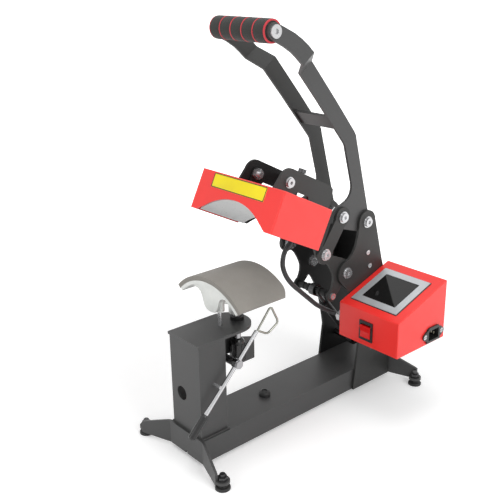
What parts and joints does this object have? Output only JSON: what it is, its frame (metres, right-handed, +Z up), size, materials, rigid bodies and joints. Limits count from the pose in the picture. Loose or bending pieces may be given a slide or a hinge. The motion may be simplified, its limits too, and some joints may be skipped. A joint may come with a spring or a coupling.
{
  "type": "cap heat press",
  "caption": "Cap heat press: toggle-handle head with curved heating plate swings down on a padded curved platen, beside a control box.",
  "frame": {"origin": "on the desk, under the middle of the machine's outer size in width and length", "axes": "+Z up, -Y to the front where the operator stands, +X to the side with the control box"},
  "size_m": [0.2612, 0.4402, 0.6007],
  "materials": {
    "frame_paint": "satin powder coat",
    "red_paint": "gloss powder coat",
    "black_metal": "satin black",
    "chrome_hardware": "polished",
    "steel": "zinc plated",
    "aluminium_cast": "machined casting",
    "silicone_grey": "matte",
    "rubber_black": "matte",
    "silver_trim": "brushed",
    "screen_dark": "glossy",
    "board_green": "matte",
    "plastic_black": "satin",
    "rocker_red": "glossy",
    "foam_black": "foam",
    "foam_red": "matte",
    "cable_black": "satin"
  },
  "bodies": {
    "frame": {"base_beam": "frame_paint", "front_leg_plate": "frame_paint", "rear_leg_plate": "frame_paint", "foot_screws": "steel", "foot_pads": "rubber_black", "beam_bumper": "rubber_black", "pedestal_column": "frame_paint", "pedestal_top_plate": "frame_paint", "rear_bracket": "black_metal", "stop_pin": "chrome_hardware", "side_plate_left": "frame_paint", "side_plate_right": "frame_paint", "rear_cross_plate": "black_metal", "spring_pin": "steel", "pivot_bolts": "chrome_hardware", "box_shell": "red_paint", "box_back_cover": "black_metal", "panel_frame": "silver_trim", "panel_screen": "screen_dark", "control_board": "board_green", "switch_bezel": "plastic_black", "power_inlet": "plastic_black", "small_screws": "chrome_hardware", "cable_gland": "chrome_hardware", "lever_shaft": "steel"},
    "handle": {"handle_arm_left": "frame_paint", "handle_arm_right": "frame_paint", "handle_bolts": "chrome_hardware", "handle_crossbar": "frame_paint", "grip_rod": "steel", "grip_foam": "foam_black", "grip_rings": "foam_red", "grip_bolts": "chrome_hardware"},
    "head": {"head_plate_left": "frame_paint", "head_plate_right": "frame_paint", "head_cover": "red_paint", "head_frame": "black_metal", "head_bolts": "chrome_hardware", "head_cross_bar": "frame_paint", "adjust_screw": "black_metal", "heating_plate": "aluminium_cast", "heaters": "steel", "rocker_shaft": "black_metal", "head_cable": "cable_black"},
    "link_l": {"link_left": "frame_paint", "link_bolt_left": "chrome_hardware"},
    "link_r": {"link_right": "frame_paint", "link_bolt_right": "chrome_hardware"},
    "spring_cylinder": {"gas_cylinder": "black_metal"},
    "spring_rod": {"gas_rod": "steel"},
    "platen": {"platen_casting": "aluminium_cast", "platen_pad": "silicone_grey", "guide_pin": "chrome_hardware"},
    "knob": {"pressure_spindle": "steel", "spindle_collar": "black_metal", "pressure_knob": "plastic_black"},
    "lever": {"lever_tube": "chrome_hardware", "lever_grip": "rubber_black", "lever_loop": "chrome_hardware"},
    "switch": {"switch_rocker": "rocker_red"}
  },
  "joints": [
    {"name": "handle_pull", "type": "hinge", "parent": "frame", "child": "handle", "pos_m": [-0.02895, 0.13159, 0.2902], "axis": [1, 0, 0], "range_deg": [0, 40.38]},
    {"name": "head_swing", "type": "hinge", "parent": "frame", "child": "head", "pos_m": [-0.02895, 0.08839, 0.218], "axis": [1, 0, 0], "range_deg": [0, 26.6], "deforming": ["head_cable"]},
    {"name": "link_left_pivot", "type": "hinge", "parent": "handle", "child": "link_l", "pos_m": [-0.06895, 0.07649, 0.3097], "axis": [1, 0, 0], "range_deg": [-59.1, 0]},
    {"name": "link_right_pivot", "type": "hinge", "parent": "handle", "child": "link_r", "pos_m": [0.01105, 0.07649, 0.3097], "axis": [1, 0, 0], "range_deg": [-59.1, 0]},
    {"name": "spring_foot", "type": "hinge", "parent": "frame", "child": "spring_cylinder", "pos_m": [-0.02895, 0.15339, 0.07], "axis": [1, 0, 0], "range_deg": [-3.5, 0]},
    {"name": "spring_stroke", "type": "slide", "parent": "spring_cylinder", "child": "spring_rod", "axis": [0, -0.6243, 0.7812], "range_m": [-0.0177, 0]},
    {"name": "pressure_turn", "type": "hinge", "parent": "frame", "child": "knob", "pos_m": [-0.02895, -0.09661, 0.15], "axis": [0, 0, 1], "range_deg": [-180, 1080]},
    {"name": "platen_lift", "type": "slide", "parent": "frame", "child": "platen", "axis": [0, 0, 1], "range_m": [-0.006, 0.001]},
    {"name": "cap_lever_swing", "type": "hinge", "parent": "frame", "child": "lever", "pos_m": [0.01405, -0.13411, 0.144], "axis": [1, 0, 0], "range_deg": [0, 10]},
    {"name": "power_switch_tilt", "type": "hinge", "parent": "frame", "child": "switch", "pos_m": [0.06805, 0.07639, 0.1445], "axis": [1, 0, 0], "range_deg": [-14, 0]}
  ],
  "couplings": [
    {"joint": "head_swing", "follows": "handle_pull", "ratio": 0.65862},
    {"joint": "link_left_pivot", "follows": "handle_pull", "ratio": -1.4625},
    {"joint": "link_right_pivot", "follows": "handle_pull", "ratio": -1.4625},
    {"joint": "spring_foot", "follows": "handle_pull", "ratio": -0.084848},
    {"joint": "spring_stroke", "follows": "handle_pull", "m_per_rad": -0.024963},
    {"joint": "pressure_turn", "follows": "platen_lift", "rad_per_m": -3141.5}
  ]
}
